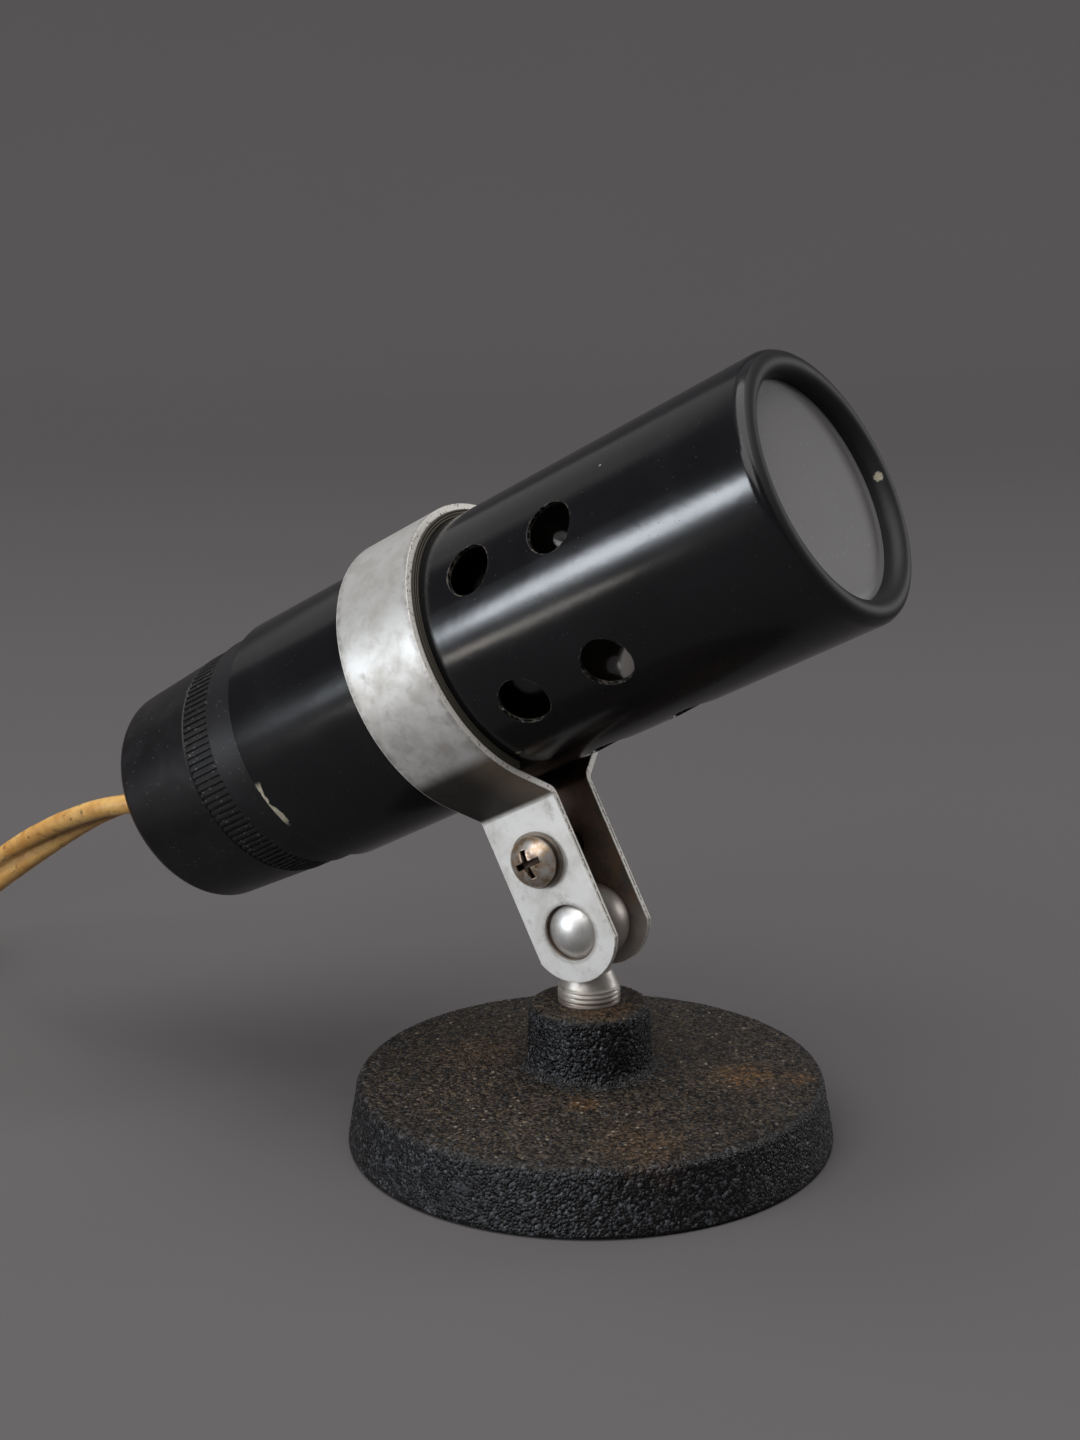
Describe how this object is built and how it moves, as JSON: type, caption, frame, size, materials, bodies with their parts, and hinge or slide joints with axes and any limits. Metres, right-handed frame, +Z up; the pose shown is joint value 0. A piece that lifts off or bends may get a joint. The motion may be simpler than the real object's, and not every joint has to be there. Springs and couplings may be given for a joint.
{
  "type": "tabletop searchlight lamp",
  "caption": "Small tabletop searchlight: a vented tubular head in a strap clamp, tilting on a ball stud over a round weighted base, with a flat cord and plug.",
  "frame": {"origin": "centre of the base's underside, on the surface the lamp stands on", "axes": "+Z up; +X the way the beam points, level; the lamp tube's axis lies in the XZ plane, and the clamp screw's head faces -Y"},
  "size_m": [0.3218, 0.1079, 0.1243],
  "materials": {
    "cast_enamel": "coarse wrinkled black enamel, dusty and rusting",
    "base_felt": "matte",
    "dull_nickel": "worn satin plating",
    "screw_nickel": "bright plating, worn",
    "plain_steel": "satin",
    "liner_hide": "matte, dusty edges",
    "tube_enamel": "gloss black enamel, scratched",
    "frosted_glass": "frosted",
    "bakelite": "dull moulded phenolic",
    "porcelain": "glazed",
    "brass_parts": "satin",
    "core_copper": "bare strands",
    "bulb_clear": "clear",
    "tungsten": "matte",
    "grip_fibre": "matte",
    "cord_plastic": "aged, spotted",
    "tie_wrap": "matte",
    "plug_plastic": "dull"
  },
  "bodies": {
    "base": {"base_casting": "cast_enamel", "base_pad": "base_felt", "stud_nut": "plain_steel", "stud_washer": "plain_steel"},
    "swivel": {"ball_stud": "dull_nickel", "cord_coil": "cord_plastic", "coil_tie": "tie_wrap", "cord_tail": "cord_plastic", "plug_body": "plug_plastic", "plug_pins": "brass_parts"},
    "head": {"clamp_strap": "dull_nickel", "strap_liner": "liner_hide", "clamp_nut": "screw_nickel", "lamp_tube": "tube_enamel", "front_glass": "frosted_glass", "glass_ring": "plain_steel", "holder_skirt": "bakelite", "holder_ring": "bakelite", "holder_cap": "bakelite", "holder_insert": "porcelain", "screw_shell": "brass_parts", "centre_contact": "brass_parts", "terminal_screws": "brass_parts", "cord_grip": "grip_fibre", "core_ends": "core_copper", "bulb_cap": "brass_parts", "bulb_insulator": "porcelain", "bulb_contact": "brass_parts", "bulb_glass": "bulb_clear", "bulb_stem": "bulb_clear", "bulb_filament": "tungsten", "cord": "cord_plastic"},
    "washer": {"clamp_washer": "dull_nickel"},
    "screw": {"clamp_screw": "screw_nickel"}
  },
  "joints": [
    {"name": "pan", "type": "hinge", "parent": "base", "child": "swivel", "pos_m": [0, 0, 0.035], "axis": [0, 0, 1], "range_deg": [-175, 175]},
    {"name": "tilt", "type": "hinge", "parent": "swivel", "child": "head", "pos_m": [0, 0, 0.035], "axis": [0, 1, 0], "range_deg": [-13, 66]},
    {"name": "washer_lift", "type": "slide", "parent": "head", "child": "washer", "axis": [0, -1, 0], "range_m": [0, 0.0014]},
    {"name": "screw_turn", "type": "hinge", "parent": "washer", "child": "screw", "pos_m": [-0.00555, 0, 0.04609], "axis": [0, -1, 0], "range_deg": [0, 720]}
  ],
  "couplings": [
    {"joint": "screw_turn", "follows": "washer_lift", "rad_per_m": 8975.9}
  ]
}
